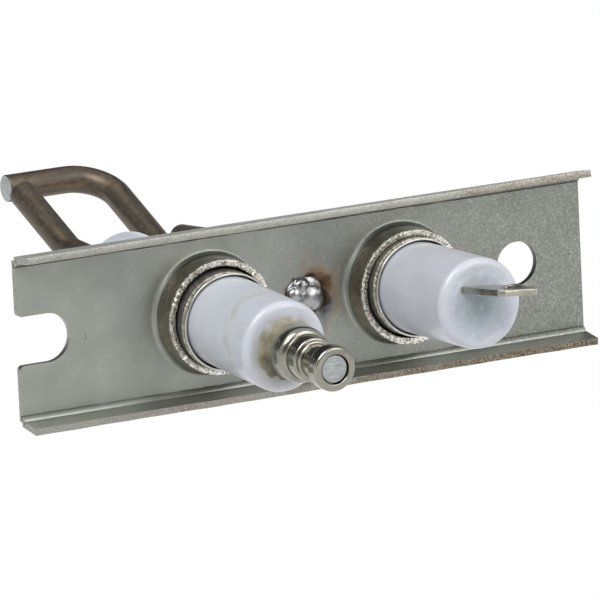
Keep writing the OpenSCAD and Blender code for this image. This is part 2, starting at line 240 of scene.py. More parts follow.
def rounded_path(corners, steps=8):
    """Straight lines through corners (x, y, ..., radius), each corner with a radius
    replaced by the arc of that radius that touches both its lines."""
    corners = np.array(corners, float)
    places, radii = corners[:, :-1], corners[:, -1]
    points = [places[0]]
    for before, corner, after, radius in zip(places, places[1:], places[2:], radii[1:]):
        if radius == 0:
            points.append(corner)
            continue
        back, on = unit(before - corner), unit(after - corner)
        half = math.acos(np.clip(back @ on, -1, 1)) / 2
        centre = corner + unit(back + on) * radius / math.sin(half)
        start, end = (corner + leg * radius / math.tan(half) - centre for leg in (back, on))
        turn = math.pi - 2 * half
        share = np.linspace(0, 1, steps + 1)[:, None]
        arc = np.sin((1 - share) * turn) * start + np.sin(share * turn) * end
        points.extend(centre + arc / math.sin(turn))
    points.append(places[-1])
    return np.array(points)


def densify(path, step):
    """A path with more points, so that no two neighbours are further apart than step."""
    parts = [path[:1]]
    for start, end in zip(path, path[1:]):
        count = max(1, math.ceil(np.linalg.norm(end - start) / step))
        parts.append(start + np.linspace(0, 1, count + 1)[1:, None] * (end - start))
    return np.concatenate(parts)


def lengths_along(path):
    """Distance from a path's first point to each of its points."""
    return np.concatenate([[0], np.cumsum(np.linalg.norm(np.diff(path, axis=0), axis=1))])


def resample(path, count):
    """Spreads count points evenly along a path."""
    reached = lengths_along(path)
    even = np.linspace(0, reached[-1], count)
    return np.column_stack([np.interp(even, reached, column) for column in path.T])


def waves(angle, seed, slowest, fastest, fade=0.5):
    """A periodic wobble of about unit size: whole numbers of sine waves round the
    circle with random phases, each as strong as its number to the power of -fade."""
    random = np.random.default_rng(seed)
    counts = np.arange(slowest, fastest + 1)
    strength = counts ** -float(fade)
    phases = random.uniform(0, 2 * math.pi, counts.size)
    height = (strength * np.sin(angle[..., None] * counts + phases)).sum(-1)
    return height / math.sqrt((strength ** 2).sum() / 2) / 2


def lumps(points, seed, length, count=10):
    """A smooth random field of about unit size: plane sine waves of one length
    that cross in random directions."""
    random = np.random.default_rng(seed)
    directions = random.normal(size=(count, 3))
    directions *= (2 * math.pi / length) / np.linalg.norm(directions, axis=1)[:, None]
    phases = random.uniform(0, 2 * math.pi, count)
    return np.sin(points @ directions.T + phases).sum(-1) / math.sqrt(count)


class Axis:
    """The line of one insulator: w runs out of the terminal side, y up and x to the right."""

    def __init__(self, x, direction):
        self.origin = np.array([x, 0.0, 0.0])
        self.w = np.array(direction, float)
        self.x = np.array([1.0, 0.0, 0.0])
        self.y = np.array([0.0, self.w[2], -self.w[1]])

    def place(self, x, y, w):
        """Points of the part's frame for distances to the right, up and out along the line."""
        return (self.origin + np.asarray(x)[..., None] * self.x
                + np.asarray(y)[..., None] * self.y + np.asarray(w)[..., None] * self.w)


def tilted(x, nose_up, advance=0.0):
    """An insulator's line, with its heights counted from advance millimetres out."""
    axis = Axis(x, (0, -math.cos(nose_up), math.sin(nose_up)))
    axis.origin = axis.origin + advance * axis.w
    return axis


SENSING_TILT = math.radians(2.2)
SENSING_ADVANCE = 1.0  # how much further out the sensing ceramic stands, in mm
IGNITION = Axis(NOSE["pos_m"][0] / MM, NOSE["axis"])
SENSING = tilted((RING_LOW[0] + RING_HIGH[0]) / 2, SENSING_TILT)
SENSING_STACK = tilted((RING_LOW[0] + RING_HIGH[0]) / 2, SENSING_TILT, SENSING_ADVANCE)
EARTH = Axis((EARTH_LOW[0] + EARTH_HIGH[0]) / 2, (0, -1, 0))


def lathe(axis, profile, steps=144, wobble=None):
    """Turns a profile of (radius, w) once round an axis, with wobble(angle, w) added to
    every radius that isn't zero."""
    angle = np.linspace(0, 2 * math.pi, steps, endpoint=False)[None, :]
    radius, w = profile[:, :1], profile[:, 1:]
    if wobble is not None:
        radius = radius + wobble(angle, w) * (radius > 0)
    return axis.place(radius * np.cos(angle), radius * np.sin(angle), w + 0 * angle)


def sweep(path, radii, steps=64):
    """Carries a circle along a path: at each point the circle's first direction is the one
    before it less its part along the path, and the second is square to both."""
    ahead = np.gradient(path, axis=0)
    ahead /= np.linalg.norm(ahead, axis=1)[:, None]
    any_way = (0.123, 0.456, 0.789)
    side = unit(np.cross(ahead[0], any_way))
    sides = []
    for direction in ahead:
        side = unit(side - (side @ direction) * direction)
        sides.append(side)
    sides = np.array(sides)
    across = np.cross(ahead, sides)
    angle = np.linspace(0, 2 * math.pi, steps, endpoint=False)
    ring = (np.cos(angle)[None, :, None] * sides[:, None]
            + np.sin(angle)[None, :, None] * across[:, None])
    return path[:, None] + np.asarray(radii)[:, None, None] * ring


def rod(path, radius, edge, steps=6):
    """A round bar along a path, with rounded edges at its two flat ends."""
    path = densify(path, 0.8)
    turn = np.linspace(0, math.pi / 2, steps + 1)
    cap = np.column_stack([edge * (1 - np.cos(turn)), radius - edge + edge * np.sin(turn)])
    cap = np.vstack([[0, 0], [0, radius * 0.5], cap])
    first, last = unit(path[1] - path[0]), unit(path[-1] - path[-2])
    points = np.vstack([path[0] + cap[:, :1] * first, path[1:-1], path[-1] - cap[::-1, :1] * last])
    radii = np.concatenate([cap[:, 1], np.full(len(path) - 2, radius), cap[::-1, 1]])
    # Cap points that coincide have no direction between them, so each is nudged a little.
    nudge = 1e-6 * np.arange(len(cap))[:, None]
    points[:len(cap)] += nudge * first
    points[-len(cap):] -= nudge[::-1] * last
    return sweep(points, radii)


# ---------------------------------------------------------------------------
# Pieces
# ---------------------------------------------------------------------------

SEAM = 0.002  # points nearer than this are one, in mm


def grid_faces(grid, wrap_rows, wrap_columns, offset):
    """Faces of a grid of points, closed on itself where it wraps, and how far in millimetres
    each of their corners lies along the grid's rows and columns."""
    rows, columns = grid.shape[:2]
    index = np.arange(rows * columns).reshape(rows, columns) + offset
    closed = grid
    if wrap_rows:
        index = np.vstack([index, index[:1]])
        closed = np.concatenate([closed, closed[:1]])
    if wrap_columns:
        index = np.hstack([index, index[:, :1]])
        closed = np.concatenate([closed, closed[:, :1]], axis=1)
    down, right = (np.linalg.norm(np.diff(closed, axis=way), axis=2).max(1 - way)
                   for way in (0, 1))
    lengths = np.stack(np.meshgrid(np.append(0, np.cumsum(right)),
                                   np.append(0, np.cumsum(down))), axis=-1)

    def corners(values):
        """The four corner values of every face."""
        return np.stack([values[:-1, :-1], values[1:, :-1], values[1:, 1:], values[:-1, 1:]], axis=2)

    return corners(index).reshape(-1, 4), corners(lengths).reshape(-1, 2)


def make_piece(name, patches, materials):
    """A mesh of grids (points, wrap_rows, wrap_columns, material) joined where they meet."""
    points, faces, lengths, finishes = [], [], [], []
    offset = 0
    for grid, wrap_rows, wrap_columns, finish in patches:
        quads, flat = grid_faces(grid, wrap_rows, wrap_columns, offset)
        points.append(grid.reshape(-1, 3))
        faces.append(quads)
        lengths.append(flat)
        finishes.append(np.full(len(quads), finish))
        offset += grid.shape[0] * grid.shape[1]
    mesh = bpy.data.meshes.new(name)
    mesh.from_pydata(np.concatenate(points) * MM, [], np.concatenate(faces))
    mesh.uv_layers.new(name="surface").data.foreach_set("uv", np.concatenate(lengths).ravel() * MM)
    mesh.polygons.foreach_set("material_index", np.concatenate(finishes))
    for material in materials:
        mesh.materials.append(material)
    piece = bpy.data.objects.new(name, mesh)
    bpy.context.scene.collection.objects.link(piece)
    reshape(mesh, join_seams)
    return piece


def reshape(mesh, change):
    """Changes a mesh's points and faces, and turns its faces outwards."""
    surface = bmesh.new()
    surface.from_mesh(mesh)
    change(surface)
    bmesh.ops.recalc_face_normals(surface, faces=surface.faces)
    surface.to_mesh(mesh)
    surface.free()


def join_seams(surface):
    """Merges points that coincide and drops the faces that this empties."""
    bmesh.ops.remove_doubles(surface, verts=surface.verts, dist=SEAM * MM)


def close_open_edges(surface):
    """Fills each open loop with one face."""
    bmesh.ops.holes_fill(surface, edges=[edge for edge in surface.edges if edge.is_boundary])


def finish_piece(piece, node, sharp=35):
    """Shades the piece smooth, but sharp where faces meet at more than sharp degrees, and rides
    it on the part's one body in place of the node whose shape it refines."""
    mesh = piece.data
    mesh.polygons.foreach_set("use_smooth", np.ones(len(mesh.polygons), bool))
    mesh.set_sharp_from_angle(angle=math.radians(sharp))
    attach(piece, BODY)
    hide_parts(node)


def round_piece(name, grid, finish, node, sharp):
    """A whole piece from one grid that closes round an axis, in one finish."""
    piece = make_piece(name, [(grid, False, True, 0)], [FINISHES[finish]])
    finish_piece(piece, node, sharp)


def thicken(piece, thickness):
    """Gives a sheet's middle surface its thickness in millimetres, half to each side."""
    thick = piece.modifiers.new("sheet", "SOLIDIFY")
    thick.thickness = thickness * MM
    thick.offset = 0.0
    thick.use_even_offset = True
    return thick


def soften(piece, width, sharp):
    """Rounds edges that turn by more than sharp degrees, by width in millimetres."""
    edges = piece.modifiers.new("edges", "BEVEL")
    edges.width = width * MM
    edges.segments = 3
    edges.limit_method = "ANGLE"
    edges.angle_limit = math.radians(sharp)
    return edges


def settle(piece):
    """Turns the piece's modifiers into plain mesh."""
    graph = bpy.context.evaluated_depsgraph_get()
    mesh = bpy.data.meshes.new_from_object(piece.evaluated_get(graph))
    piece.modifiers.clear()
    piece.data = mesh


# ---------------------------------------------------------------------------
# Finishes
# ---------------------------------------------------------------------------

# Middles of the stains on the two ceramics' front faces, a little below their axes; the terminal's also
# centres the painted shade in the cement under its flange.
TERMINAL_FOOT = IGNITION.place(0, -0.6, 24.1)
BLADE_FOOT = SENSING_STACK.place(0, -0.6, 24.2)


def add(tree, kind, inputs=None, **settings):
    """Adds a node, sets its settings, and links or fills each input."""
    node = tree.nodes.new(kind)
    for name, value in settings.items():
        setattr(node, name, value)
    for key, value in (inputs or {}).items():
        socket = node.inputs[key]
        if isinstance(value, bpy.types.NodeSocket):
            tree.links.new(value, socket)
        else:
            socket.default_value = value
    return node


def ramp(tree, value, stops):
    """Blends colours, given as hex codes or as linear values, at places between 0 and 1."""
    node = add(tree, "ShaderNodeValToRGB", {"Fac": value})
    while len(node.color_ramp.elements) < len(stops):
        node.color_ramp.elements.new(1.0)
    for element, (place, shade) in zip(node.color_ramp.elements, stops):
        element.position = place
        element.color = colour(shade) if isinstance(shade, str) else shade
    return node.outputs["Color"]


def grey(level):
    """A grey, where 1 is white and more than 1 glows or brightens."""
    return level, level, level, 1.0


def chosen(name, share=1.0):
    """A colour from the settings, darkened to a share of itself."""
    return (*[value * share for value in getattr(bpy.context.scene.electrode_finish, name)], 1.0)


def new_material(name, **shader_settings):
    """A material with a shader, and its coordinates in millimetres."""
    material = bpy.data.materials.new(name)
    material.use_nodes = True
    tree = material.node_tree
    tree.nodes.clear()
    shader = add(tree, "ShaderNodeBsdfPrincipled", shader_settings)
    add(tree, "ShaderNodeOutputMaterial", {"Surface": shader.outputs["BSDF"]})
    place = add(tree, "ShaderNodeTexCoord").outputs["Object"]
    return material, tree, shader, in_millimetres(tree, place)


def in_millimetres(tree, metres):
    """Coordinates in millimetres from coordinates in metres."""
    node = add(tree, "ShaderNodeVectorMath", {0: metres, "Scale": 1 / MM}, operation="SCALE")
    return node.outputs["Vector"]


def noise(tree, place, length, detail=3.0, stretch=(1, 1, 1), rough=0.55):
    """Noise whose features are about length millimetres, stretched along each axis."""
    scale = tuple(1 / (length * share) for share in stretch)
    scaled = add(tree, "ShaderNodeMapping", {"Vector": place, "Scale": scale})
    node = add(tree, "ShaderNodeTexNoise", {"Vector": scaled.outputs["Vector"], "Scale": 1.0,
                                            "Detail": detail, "Roughness": rough})
    return node.outputs["Fac"]


def blend(tree, share, first, second, mode="MIX"):
    """Mixes two colours by a share between 0 and 1; a Mix node's colours are its inputs 6
    and 7 and its output 2, since their names are those of its number and vector sockets too."""
    node = add(tree, "ShaderNodeMix", {0: share, 6: first, 7: second},
               data_type="RGBA", blend_type=mode)
    return node.outputs[2]


def between(tree, value, low, high, to_low=0.0, to_high=1.0):
    """Maps a value from one range to another, held at its ends."""
    node = add(tree, "ShaderNodeMapRange", {"Value": value, "From Min": low, "From Max": high,
                                            "To Min": to_low, "To Max": to_high})
    return node.outputs["Result"]


def bump(tree, shader, height, depth):
    """Bump from a height of 0 to 1 that stands for depth in millimetres."""
    node = add(tree, "ShaderNodeBump", {"Height": height, "Distance": depth * MM, "Strength": 1.0})
    tree.links.new(node.outputs["Normal"], shader.inputs["Normal"])


def vector_math(tree, operation, first, *second):
    """The outputs of one operation on one or two vectors."""
    inputs = {0: first, **{1: tuple(value) for value in second}}
    return add(tree, "ShaderNodeVectorMath", inputs, operation=operation).outputs


def distance_from(tree, place, centre, keep=(1, 1, 1)):
    """Distance in millimetres from a point, or from a line along the axes not kept."""
    apart = vector_math(tree, "SUBTRACT", place, centre)["Vector"]
    flat = vector_math(tree, "MULTIPLY", apart, keep)["Vector"]
    return vector_math(tree, "LENGTH", flat)["Value"]


def along(tree, place, centre, direction):
    """How far in millimetres a place lies from centre in a direction."""
    apart = vector_math(tree, "SUBTRACT", place, centre)["Vector"]
    return vector_math(tree, "DOT_PRODUCT", apart, direction)["Value"]


def total(tree, first, second, operation="ADD"):
    """The sum of two values."""
    return add(tree, "ShaderNodeMath", {0: first, 1: second}, operation=operation).outputs["Value"]


def product(tree, first, second):
    """The product of two values."""
    return total(tree, first, second, "MULTIPLY")


def paint(tree, shader, base, roughness=None):
    """Gives a shader its colour, and its roughness where that varies over the surface."""
    tree.links.new(base, shader.inputs["Base Color"])
    if roughness is not None:
        tree.links.new(roughness, shader.inputs["Roughness"])


def grained(name, metallic, roughness, stops, depth, length, detail, stretch=(1, 1, 1)):
    """A material whose colour and bump both follow one noise."""
    material, tree, shader, place = new_material(name, Metallic=metallic, Roughness=roughness)
    grain = noise(tree, place, length, detail=detail, stretch=stretch)
    paint(tree, shader, ramp(tree, grain, stops))
    bump(tree, shader, grain, depth)
    return material


def plated_sheet():
    """Satin nickel plate on rolled sheet. The eye sees a greenish grey with a fine mottled
    grain that coarsens towards the hole, small dark scratches, and patches of temper colour
    beside the earth weld: brown close in and above, blue and green below to the right.
    The grain is drawn 0.3 mm wide, coarser than the plate's own, so that it shows at all."""
    material, tree, shader, place = new_material("satin nickel plate", Metallic=0.88)
    grain = noise(tree, place, 0.3, detail=4, rough=0.7)
    cloud = noise(tree, place, 7.0, detail=3)
    base = ramp(tree, cloud, [(0.3, chosen("plate", 0.78)), (0.7, chosen("plate"))])
    hole_end = between(tree, along(tree, place, (0, 0, 0), (1, 0, 0)), -50, 5, 0.05, 0.6)
    speck = ramp(tree, grain,
                 [(0.38, "#5e605b"), (0.5, "#82857e"), (0.6, "#92958e"), (0.66, "#c4c6c0")])
    base = blend(tree, hole_end, base, speck)
    marks = noise(tree, place, 1.1, detail=2, stretch=(0.35, 1, 1.6), rough=0.4)
    base = blend(tree, between(tree, marks, 0.27, 0.2), base, colour("#6a675c"))
    wander = between(tree, noise(tree, place, 2.2, detail=3), 0.25, 0.75, -1.3, 1.3)
    reach = total(tree, distance_from(tree, place, EARTH.origin, (1, 0, 1)), wander)
    below = along(tree, place, EARTH.origin, (0.7, 0, -0.71))
    above = along(tree, place, EARTH.origin, (0.95, 0, 0.3))
    brown = ramp(tree, between(tree, reach, 2.6, 7.4),
                 [(0.0, "#2b2017"), (0.25, "#5e4326"), (0.5, "#96714a"), (0.8, "#ad9a80")])
    blue = ramp(tree, between(tree, reach, 2.6, 6.6),
                [(0.0, "#3a3129"), (0.3, "#66707f"), (0.55, "#7f8a84"), (0.75, "#86795f"),
                 (1.0, "#a6a398")])
    close = between(tree, reach, 3.0, 3.8, 1.0, 0.0)
    upper = product(tree, between(tree, above, -0.2, 3.2), between(tree, reach, 3.8, 6.4, 0.85, 0.0))
    lower = product(tree, between(tree, below, 2.6, 4.2), between(tree, reach, 4.2, 6.0, 0.7, 0.0))
    for keep, temper in ((close, brown), (upper, brown), (lower, blue)):
        base = blend(tree, keep, base, temper)
    paint(tree, shader, base, between(tree, grain, 0.3, 0.7, 0.3, 0.44))
    bump(tree, shader, grain, 0.022)
    return material


def sheared_edge():
    """Cut edge of the sheet. The eye sees fine tear marks across it: pale grey at the slotted
    end, then browner and more speckled towards the hole."""
    material, tree, shader, place = new_material("sheared edge", Metallic=1.0, Roughness=0.4)
    tears = noise(tree, place, 0.4, detail=5, stretch=(0.5, 1.6, 0.8))
    patches = noise(tree, place, 5.0, detail=3)
    pale = ramp(tree, tears, [(0.3, "#85847c"), (0.55, "#a3a39c")])
    dark = ramp(tree, tears, [(0.33, "#4a4034"), (0.5, "#736755"), (0.66, "#aaa293")])
    share = total(tree, between(tree, along(tree, place, (0, 0, 0), (1, 0, -1.6)), -45, 10),
                  between(tree, patches, 0.3, 0.7, -0.35, 0.3))
    paint(tree, shader, blend(tree, between(tree, share, 0, 1), pale, dark))
    bump(tree, shader, tears, 0.03)
    return material


def drawn_flank():
    """Wall of a drawn collar: burnished by the die, brown and glossy, in bands round it."""
    return grained("drawn collar wall", 1.0, 0.3,
                   [(0.3, "#81766a"), (0.55, "#a19a8e"), (0.75, "#bdb9ae")],
                   depth=0.03, length=0.7, detail=4, stretch=(1.5, 0.5, 1.5))


def torn_lip():
    """Lip of a drawn collar: torn, bright and crystalline, with dark pits."""
    return grained("torn lip", 1.0, 0.35,
                   [(0.36, "#7a7266"), (0.48, "#c8c4b8"), (0.58, "#f6f5ef")],
                   depth=0.06, length=0.28, detail=5)


def ferrule_steel(name="zinc plated sleeve", low="#5f5e58", high="#7d7c75", rough=0.5):
    """Zinc plated steel sleeve: dull and streaked round its turning, with a bright rolled rim."""
    material, tree, shader, place = new_material(name, Metallic=1.0)
    streaks = noise(tree, place, 1.2, detail=3, stretch=(1.5, 0.12, 1.5))
    paint(tree, shader, ramp(tree, streaks, [(0.3, low), (0.7, high)]),
          between(tree, streaks, 0.3, 0.7, rough - 0.05, rough + 0.1))
    bump(tree, shader, streaks, 0.015)
    return material


def glazed_ceramic():
    """Glazed steatite: a cool white body under a clear glaze. The eye sees it lavender grey in
    shade, with faint rubbed smudges and an olive stain where the terminal's cement meets it."""
    material, tree, shader, place = new_material("glazed steatite", Roughness=0.3)
    patches = noise(tree, place, 6.0, detail=3)
    base = ramp(tree, patches, [(0.3, chosen("ceramic", 0.88)), (0.7, chosen("ceramic"))])
    smudge = noise(tree, place, 3.4, detail=3)
    ring = along(tree, place, IGNITION.place(0, 0, 18.2), IGNITION.w)
    ring = total(tree, ring, between(tree, smudge, 0.3, 0.7, -1.5, 1.5))
    ring = product(tree, between(tree, ring, -1.3, 0.0), between(tree, ring, 0.0, 1.3, 1.0, 0.0))
    left = between(tree, along(tree, place, IGNITION.origin, (1, 0, 0)), -2.0, 4.0, 0.55, 0.0)
    rubbed = product(tree, product(tree, ring, left),
                     between(tree, noise(tree, place, 2.6, detail=3), 0.42, 0.6))
    base = blend(tree, rubbed, base, colour("#8f9273"))
    near = total(tree, distance_from(tree, place, TERMINAL_FOOT),
                 between(tree, smudge, 0.3, 0.7, -0.5, 0.5))
    base = blend(tree, between(tree, near, 3.6, 5.6, 0.85, 0.0), base, colour("#8a8772"))
    paint(tree, shader, base)
    shader.inputs["Coat Weight"].default_value = 0.3
    shader.inputs["Coat Roughness"].default_value = 0.12
    shader.inputs["Subsurface Weight"].default_value = 0.08
    shader.inputs["Subsurface Scale"].default_value = 0.0015
    return material


def insulator_cement():
    """Fired cement: matte and granular, a cool grey with darker damp patches."""
    return grained("grey insulator cement", 0.0, 0.75, [(0.3, "#93a0a6"), (0.7, "#b3bcc4")],
                   depth=0.08, length=0.9, detail=5)


def stained_cement():
    """Cement under the terminal, soaked by flux: olive brown, darkening to near black close in under the
    terminal's flange, where that darkening is painted shade; as white as the ceramic where it is smeared
    thin over the face."""
    material, tree, shader, place = new_material("stained insulator cement", Roughness=0.6)
    grains = noise(tree, place, 2.2, detail=3)
    reach = total(tree, distance_from(tree, place, TERMINAL_FOOT, (1, 0.25, 1)),
                  between(tree, grains, 0.3, 0.7, -0.5, 0.5))
    # Painted shade: the first stop darkens the cement to near black closest to the terminal's foot, under
    # its flange; the olive stop after it is the stain.
    paint(tree, shader, ramp(tree, between(tree, reach, 2.9, 5.4),
                             [(0.0, "#433d33"), (0.35, chosen("stain")), (0.65, "#928f7e"),
                              (1.0, "#b0b3bd")]))
    bump(tree, shader, grains, 0.06)
    return material


def washed_cement():
    """Cement smeared flush over the mouth of the pocket: as white as the ceramic at its rim,
    grey and teal round the blade's foot, with a few black specks."""
    material, tree, shader, place = new_material("washed cement", Roughness=0.5)
    grains = noise(tree, place, 0.8, detail=4)
    near = total(tree, distance_from(tree, place, BLADE_FOOT),
                 between(tree, noise(tree, place, 1.2), 0.3, 0.7, -0.7, 0.7))
    base = ramp(tree, between(tree, near, 1.2, 4.6),
                [(0.0, "#8b999f"), (0.4, "#9ba6ae"), (0.75, "#a6abb5"), (1.0, "#b1b6bf")])
    base = blend(tree, between(tree, grains, 0.3, 0.22), base, colour("#2f2d2b"))
    paint(tree, shader, base)
    bump(tree, shader, grains, 0.05)
    return material


def oxidised_rod():
    """Heat resisting alloy wire, drawn and browned by heat. The eye sees a dark grey brown with
    broad soft streaks along its length and a dusting of paler scale."""
    material, tree, shader, place = new_material("oxidised alloy wire", Metallic=0.8)
    surface = add(tree, "ShaderNodeUVMap", uv_map="surface").outputs["UV"]
    streaks = noise(tree, in_millimetres(tree, surface), 1.6, detail=3, stretch=(0.55, 7.0, 1))
    spots = noise(tree, place, 0.8, detail=5)
    base = ramp(tree, streaks, [(0.3, chosen("rod", 0.66)), (0.5, chosen("rod")), (0.7, "#73634f")])
    dust = ramp(tree, spots, [(0.4, grey(0.86)), (0.6, grey(1.08))])
    base = blend(tree, 1.0, base, dust, "MULTIPLY")
    paint(tree, shader, base, between(tree, spots, 0.3, 0.7, 0.38, 0.52))
    bump(tree, shader, spots, 0.025)
    return material


def cut_rod_end():
    """Sheared end of the wire: paler bare metal with cutting marks."""
    return grained("cut wire end", 0.9, 0.4, [(0.3, "#8d9192"), (0.7, "#b8bcbd")],
                   depth=0.04, length=0.8, detail=4, stretch=(2, 2, 0.4))


def bright_nickel(name, low, high, rough):
    """Bright nickel on a turned part: near mirror, with the faintest turning rings."""
    material, tree, shader, place = new_material(name, Metallic=1.0, Roughness=rough)
    patches = noise(tree, place, 2.5, detail=3)
    paint(tree, shader, ramp(tree, patches, [(0.3, low), (0.7, high)]))
    bump(tree, shader, noise(tree, place, 0.5, detail=3), 0.006)
    return material


def weld_metal():
    """Solidified weld pool: bright rippled steel with darker oxide in its folds."""
    return grained("weld pool steel", 1.0, 0.24, [(0.34, "#5c5853"), (0.5, "#a3a4a6")],
                   depth=0.02, length=1.5, detail=2)


FINISHES = {}


def make_finishes():
    """Makes every material once, in the colours of the settings."""
    FINISHES.update(
        sheet=plated_sheet(), edge=sheared_edge(), flank=drawn_flank(), lip=torn_lip(),
        punched=ferrule_steel("punched hole wall", "#3f3d38", "#6f6d66", 0.4),
        ferrule=ferrule_steel(), rim=ferrule_steel("rolled sleeve rim", "#b4b2aa", "#dddbd4", 0.2),
        ceramic=glazed_ceramic(), rod=oxidised_rod(), rod_end=cut_rod_end(),
        nickel=bright_nickel("bright nickel plate", chosen("nickel", 0.68), chosen("nickel"), 0.17),
        blade=bright_nickel("nickel plated blade", "#8f8c80", "#aeaba0", 0.26),
        weld=weld_metal(), pocket=washed_cement(),
        cement=insulator_cement(), stained=stained_cement())


def dress_node(name, material):
    """Gives a carried-over node one finish."""
    mesh = frame["nodes"][name].data
    mesh.materials.clear()
    mesh.materials.append(material)


# ---------------------------------------------------------------------------
# Bracket
# ---------------------------------------------------------------------------

CELL_STEPS = 52  # points along each side of a cell, which its neighbours share
SLOT_CELL = 11.5  # length of the web's cell round the slot, in mm
SHEET, EDGE, FLANK, LIP, HOLE, PUNCHED = range(6)  # finishes, each with its cut edge's after it


def rectangle(left, right, low, high, steps):
    """Points round a rectangle, anticlockwise from its lower right corner."""
    share = np.linspace(0, 1, steps, endpoint=False)
    x = [right + 0 * share, right + (left - right) * share,
         left + 0 * share, left + (right - left) * share]
    y = [low + (high - low) * share, high + 0 * share,
         high + (low - high) * share, low + 0 * share]
    return np.concatenate(x), np.concatenate(y)


def web_points(x, z, y):
    """Points at x and z in a plane at one depth y."""
    return np.stack([x, y + 0 * x, z], axis=-1)


def ring_cell(centre, left, right, half, middle, radius, rows=10):
    """Web round a hole: each point of the rectangle runs straight to the circle."""
    x, z = rectangle(left, right, -half, half, CELL_STEPS)
    angle = np.arctan2(z, x - centre)
    share = np.linspace(0, 1, rows)[:, None]
    rim_x, rim_z = centre + radius * np.cos(angle), radius * np.sin(angle)
    return web_points(x + share * (rim_x - x), z + share * (rim_z - z), middle), angle


def collar_cell(centre, left, right, half, settings, seed):
    """Web that turns into a drawn collar: the rectangle runs to the fillet's foot, up the
    fillet's quarter circle, and along the wall, which leans in evenly and flares with the
    fourth power of the way up, to a torn lip."""
    middle = -settings.sheet / 2
    foot = settings.collar_foot
    base = settings.collar + foot
    web, angle = ring_cell(centre, left, right, half, middle, base)
    turn = np.linspace(0, math.pi / 2, 9)[1:, None]
    radius = base - foot * np.sin(turn) + 0 * angle
    y = middle - foot * (1 - np.cos(turn)) + 0 * angle
    tears = np.clip(waves(angle, seed, 5, 110, 0.15), -1.2, 1.0)
    lip = -(settings.sheet + settings.collar_rise) - settings.ragged * tears
    share = np.linspace(0, 1, 12)[1:, None]
    wall_y = y[-1] + share * (lip - y[-1])
    flare = 0.05 * share ** 4 * waves(angle, seed + 1, 3, 60, 0.2)
    wall_radius = settings.collar - settings.collar_lean * share + flare
    rise = [np.stack([centre + r * np.cos(angle), d + 0 * r, r * np.sin(angle)], axis=-1)
            for r, d in ((radius, y), (wall_radius, wall_y))]
    wall = np.concatenate([rise[0][-1:], rise[1]])
    return [(web, False, True, SHEET), (np.concatenate([web[-1:], rise[0]]), False, True, SHEET),
            (wall, False, True, FLANK)]


def slot_cell(left, right, half, settings):
    """Web round the open slot: the outline of the slot, from the end of the bracket
    round and back, runs to the cell's other three sides."""
    middle = -settings.sheet / 2
    wide, mouth = settings.slot_width / 2, settings.slot_mouth
    bend = np.linspace(math.pi / 2, -math.pi / 2, 2 * CELL_STEPS + 1)
    centre = left + settings.slot_depth - wide
    turn = np.linspace(0, math.pi / 2, CELL_STEPS // 4, endpoint=False)
    start_x = left + mouth - mouth * np.cos(turn)
    start_z = wide + mouth - mouth * np.sin(turn)
    straight = np.linspace(left + mouth, centre, CELL_STEPS // 4, endpoint=False)
    x = np.concatenate([start_x, straight, centre + wide * np.cos(bend),
                        straight[::-1], start_x[::-1]])
    z = np.concatenate([start_z, wide + 0 * straight, wide * np.sin(bend),
                        -wide + 0 * straight, -start_z[::-1]])
    inner = resample(np.column_stack([x, z]), 3 * CELL_STEPS + 1)
    share = np.linspace(0, 1, CELL_STEPS, endpoint=False)
    outer_x = np.concatenate([left + (right - left) * share, right + 0 * share,
                              right + (left - right) * share, [left]])
    outer_z = np.concatenate([half + 0 * share, half - 2 * half * share, -half + 0 * share, [-half]])
    rows = np.linspace(0, 1, 12)[:, None]
    return [(web_points(inner[:, 0] + rows * (outer_x - inner[:, 0]),
                        inner[:, 1] + rows * (outer_z - inner[:, 1]), middle), False, False, SHEET)]


def plain_cell(left, right, half, middle):
    """Web with nothing in it."""
    x, z = np.meshgrid(np.linspace(left, right, CELL_STEPS + 1),
                       np.linspace(-half, half, CELL_STEPS + 1))
    return [(web_points(x, z, middle), False, False, SHEET)]


def flange_strip(left, right, half, side, settings):
    """One flange: the sheet's middle bends through a quarter circle less the flare, then runs
    straight. The upper flange's flare grows with the square of the way along. Both wander by
    two sine waves of about a third of a degree, and their cut edges by one of 0.04 mm."""
    bend = settings.bend + settings.sheet / 2
    middle = -settings.sheet / 2
    x = np.linspace(left, right, CELL_STEPS + 1)[None, :]
    way = (x - BRACKET_LOW[0]) / (BRACKET_HIGH[0] - BRACKET_LOW[0])
    flare = settings.flare + (settings.spread * way ** 2 if side > 0 else 0 * way)
    flare = flare + 0.006 * np.sin(0.21 * x + side) + 0.004 * np.sin(0.57 * x)
    turn = np.linspace(0, 1, 13)[:, None] * (math.pi / 2 - flare)
    y = middle - bend * np.sin(turn)
    z = half + bend * (1 - np.cos(turn))
    depth = (-BRACKET_LOW[1] - settings.sheet / 2 * np.sin(flare)
             - 0.04 + 0.04 * np.sin(0.9 * x + 2 * side))
    run = (depth + y[-1:]) / np.cos(flare)
    share = np.linspace(0, 1, 7)[1:, None]
    y = np.concatenate([y, y[-1:] - share * run * np.cos(flare)])
    z = np.concatenate([z, z[-1:] + share * run * np.sin(flare)])
    return [(np.stack([x + 0 * y, y, side * z], axis=-1), False, False, SHEET)]


